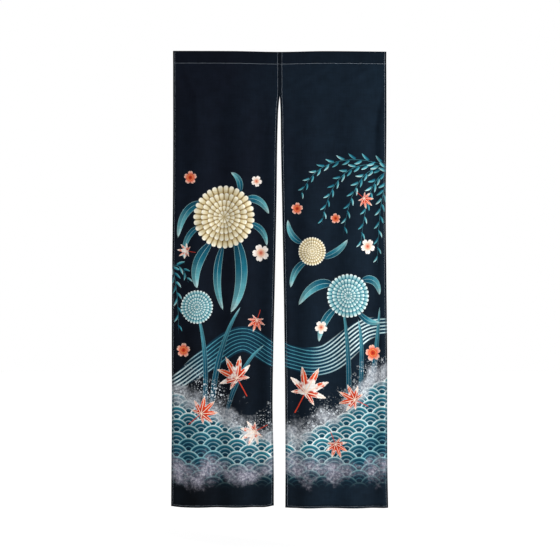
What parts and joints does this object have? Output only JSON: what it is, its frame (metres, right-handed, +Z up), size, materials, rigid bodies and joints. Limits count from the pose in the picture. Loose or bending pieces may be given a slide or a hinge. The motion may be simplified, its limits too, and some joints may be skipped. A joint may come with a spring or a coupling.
{
  "type": "noren door curtain",
  "caption": "Long door curtain of thin printed cloth with an open rod pocket along its top and a slit up the middle, hanging in soft uneven folds.",
  "frame": {"origin": "on the axis of a thin rod in the rod pocket, at the middle of the curtain's width", "axes": "+X along the rod pocket, to the right as seen from the front; -Y is the printed front; +Z up, from the bottom hem to the rod pocket"},
  "size_m": [0.8562, 0.0328, 1.803],
  "materials": {
    "panel_cloth": "matt woven polyester, printed on a dark navy ground",
    "heading_cloth": "matt woven polyester, plain dark navy"
  },
  "bodies": {
    "root": {"left_panel": "panel_cloth", "right_panel": "panel_cloth", "left_heading": "heading_cloth", "right_heading": "heading_cloth"}
  },
  "joints": []
}
